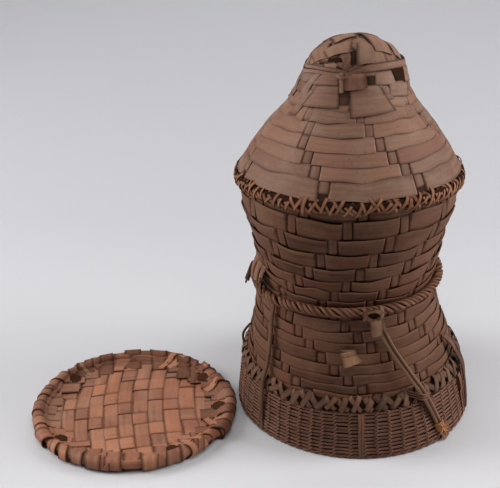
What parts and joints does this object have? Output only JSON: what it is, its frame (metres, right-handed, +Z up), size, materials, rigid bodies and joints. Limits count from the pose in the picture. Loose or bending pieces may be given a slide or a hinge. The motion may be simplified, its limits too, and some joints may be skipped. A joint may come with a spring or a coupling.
{
  "type": "lidded plaited basket",
  "caption": "Hourglass plaited leaf basket on a twined cane foot ring, with a lift-off conical lid, a rope tied round its waist and a loose round plaited tray.",
  "frame": {"origin": "on the ground, on the basket's upright axis, in the plane of the foot hoop's lower face", "axes": "+Z up along the basket's axis, -Y to the front, +X to the right as seen from the front; the tray lies to the left"},
  "size_m": [0.4253, 0.2616, 0.3695],
  "materials": {
    "wall_leaf": "dry plaited leaf, dull",
    "lid_leaf": "dry plaited leaf, dull, dusty",
    "foot_cane": "split cane, dull",
    "lashing_leaf": "thin split strips, dull",
    "rope_leaf": "twisted leaf strip, dull",
    "strut_cane": "split cane, slightly shiny",
    "binding_cord": "thin fibre cord, dull",
    "pale_leaf": "dry leaf, pale inner face",
    "tray_leaf": "dry plaited leaf, slightly shiny"
  },
  "bodies": {
    "basket": {"foot_hoop": "foot_cane", "foot_stakes": "foot_cane", "foot_twining": "foot_cane", "foot_inner_strands": "foot_cane", "foot_clips": "foot_cane", "seam_hoop": "foot_cane", "seam_lashing": "lashing_leaf", "floor_strips_across": "wall_leaf", "floor_strips_along": "wall_leaf", "lower_warps": "wall_leaf", "lower_weft_1": "wall_leaf", "lower_weft_2": "wall_leaf", "lower_weft_3": "wall_leaf", "lower_weft_4": "wall_leaf", "lower_weft_5": "wall_leaf", "lower_weft_6": "wall_leaf", "lower_weft_7": "wall_leaf", "lower_weft_8": "wall_leaf", "lower_weft_9": "wall_leaf", "lower_weft_10": "wall_leaf", "waist_rope": "rope_leaf", "rope_knot": "rope_leaf", "rope_tail": "rope_leaf", "upper_warps": "wall_leaf", "upper_weft_1": "wall_leaf", "upper_weft_2": "wall_leaf", "upper_weft_3": "wall_leaf", "upper_weft_4": "wall_leaf", "upper_weft_5": "wall_leaf", "upper_weft_6": "wall_leaf", "upper_weft_7": "wall_leaf", "upper_weft_8": "wall_leaf", "mouth_hoop": "foot_cane", "left_strut": "strut_cane", "right_strut": "strut_cane", "strut_loop": "strut_cane", "strut_keeper": "rope_leaf", "strut_binding": "binding_cord", "strip_tab": "pale_leaf"},
    "lid": {"lid_warps": "lid_leaf", "lid_weft_1": "lid_leaf", "lid_weft_2": "lid_leaf", "lid_weft_3": "lid_leaf", "lid_weft_4": "lid_leaf", "lid_weft_5": "lid_leaf", "lid_weft_6": "lid_leaf", "lid_weft_7": "lid_leaf", "lid_weft_8": "lid_leaf", "lid_weft_9": "lid_leaf", "lid_hoop": "foot_cane", "lid_lashing": "lashing_leaf", "lid_crown": "lid_leaf", "crown_band": "lid_leaf", "crown_tie": "lid_leaf"},
    "tray": {"tray_strips_across": "tray_leaf", "tray_strips_along": "tray_leaf", "tray_hoop": "foot_cane", "tray_rim": "tray_leaf"}
  },
  "joints": [
    {"name": "lid_lift", "type": "slide", "parent": "basket", "child": "lid", "axis": [0, 0, 1], "range_m": [0, 0.22]},
    {"name": "tray_lift", "type": "slide", "parent": "basket", "child": "tray", "axis": [0, 0, 1], "range_m": [0, 0.15]}
  ]
}
